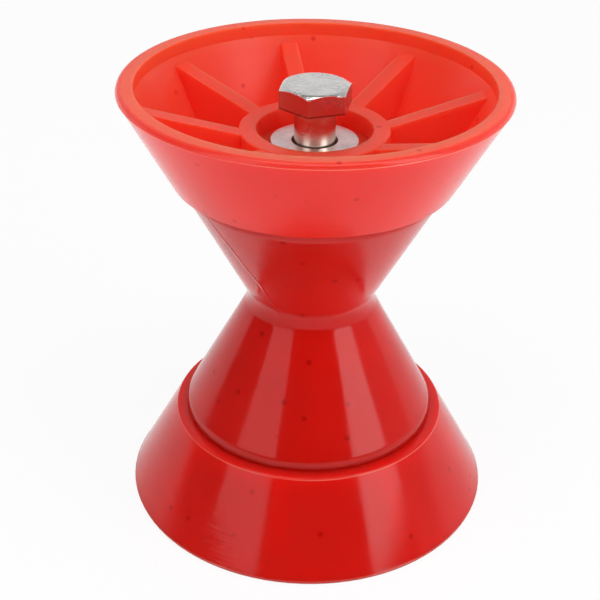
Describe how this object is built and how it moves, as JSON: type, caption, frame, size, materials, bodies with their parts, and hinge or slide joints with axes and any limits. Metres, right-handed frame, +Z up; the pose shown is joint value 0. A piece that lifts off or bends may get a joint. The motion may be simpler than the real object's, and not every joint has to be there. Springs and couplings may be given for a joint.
{
  "type": "boat trailer roller",
  "caption": "Bow roller for a boat trailer: waisted plastic spool between two flared ribbed end bells, turning on a hexagon head bolt with washers and a lock nut.",
  "frame": {"origin": "centre of the lower rim, on the surface that the roller stands on", "axes": "+Z up along the bolt towards its head, +X to the right and +Y away from the viewer of the picture"},
  "size_m": [0.112, 0.112, 0.135],
  "materials": {
    "spool_plastic": "glossy moulded red, slightly translucent",
    "bell_plastic": "glossy moulded orange red, slightly translucent",
    "bolt_steel": "bright plated steel",
    "washer_steel": "pale plated steel, lightly brushed",
    "ring_nylon": "white nylon"
  },
  "bodies": {
    "lower_bell": {"lower_bell": "bell_plastic"},
    "lower_washer": {"lower_washer": "washer_steel"},
    "spool": {"spool_roller": "spool_plastic"},
    "bolt": {"hex_bolt": "bolt_steel", "lock_nut": "bolt_steel", "nut_locking_ring": "ring_nylon"},
    "upper_washer": {"upper_washer": "washer_steel"},
    "upper_bell": {"upper_bell": "bell_plastic"}
  },
  "joints": [
    {"name": "lower_bell_turn", "type": "hinge", "parent": "lower_bell", "child": "lower_washer", "pos_m": [0, 0, 0.0675], "axis": [0, 0, 1], "continuous": true},
    {"name": "lower_ear_gap", "type": "slide", "parent": "lower_washer", "child": "spool", "axis": [0, 0, 1], "range_m": [0, 0.005]},
    {"name": "bolt_turn", "type": "hinge", "parent": "spool", "child": "bolt", "pos_m": [0, 0, 0.0675], "axis": [0, 0, 1], "continuous": true},
    {"name": "upper_ear_gap", "type": "slide", "parent": "spool", "child": "upper_washer", "axis": [0, 0, 1], "range_m": [0, 0.005]},
    {"name": "upper_bell_turn", "type": "hinge", "parent": "upper_washer", "child": "upper_bell", "pos_m": [0, 0, 0.0675], "axis": [0, 0, 1], "continuous": true}
  ]
}
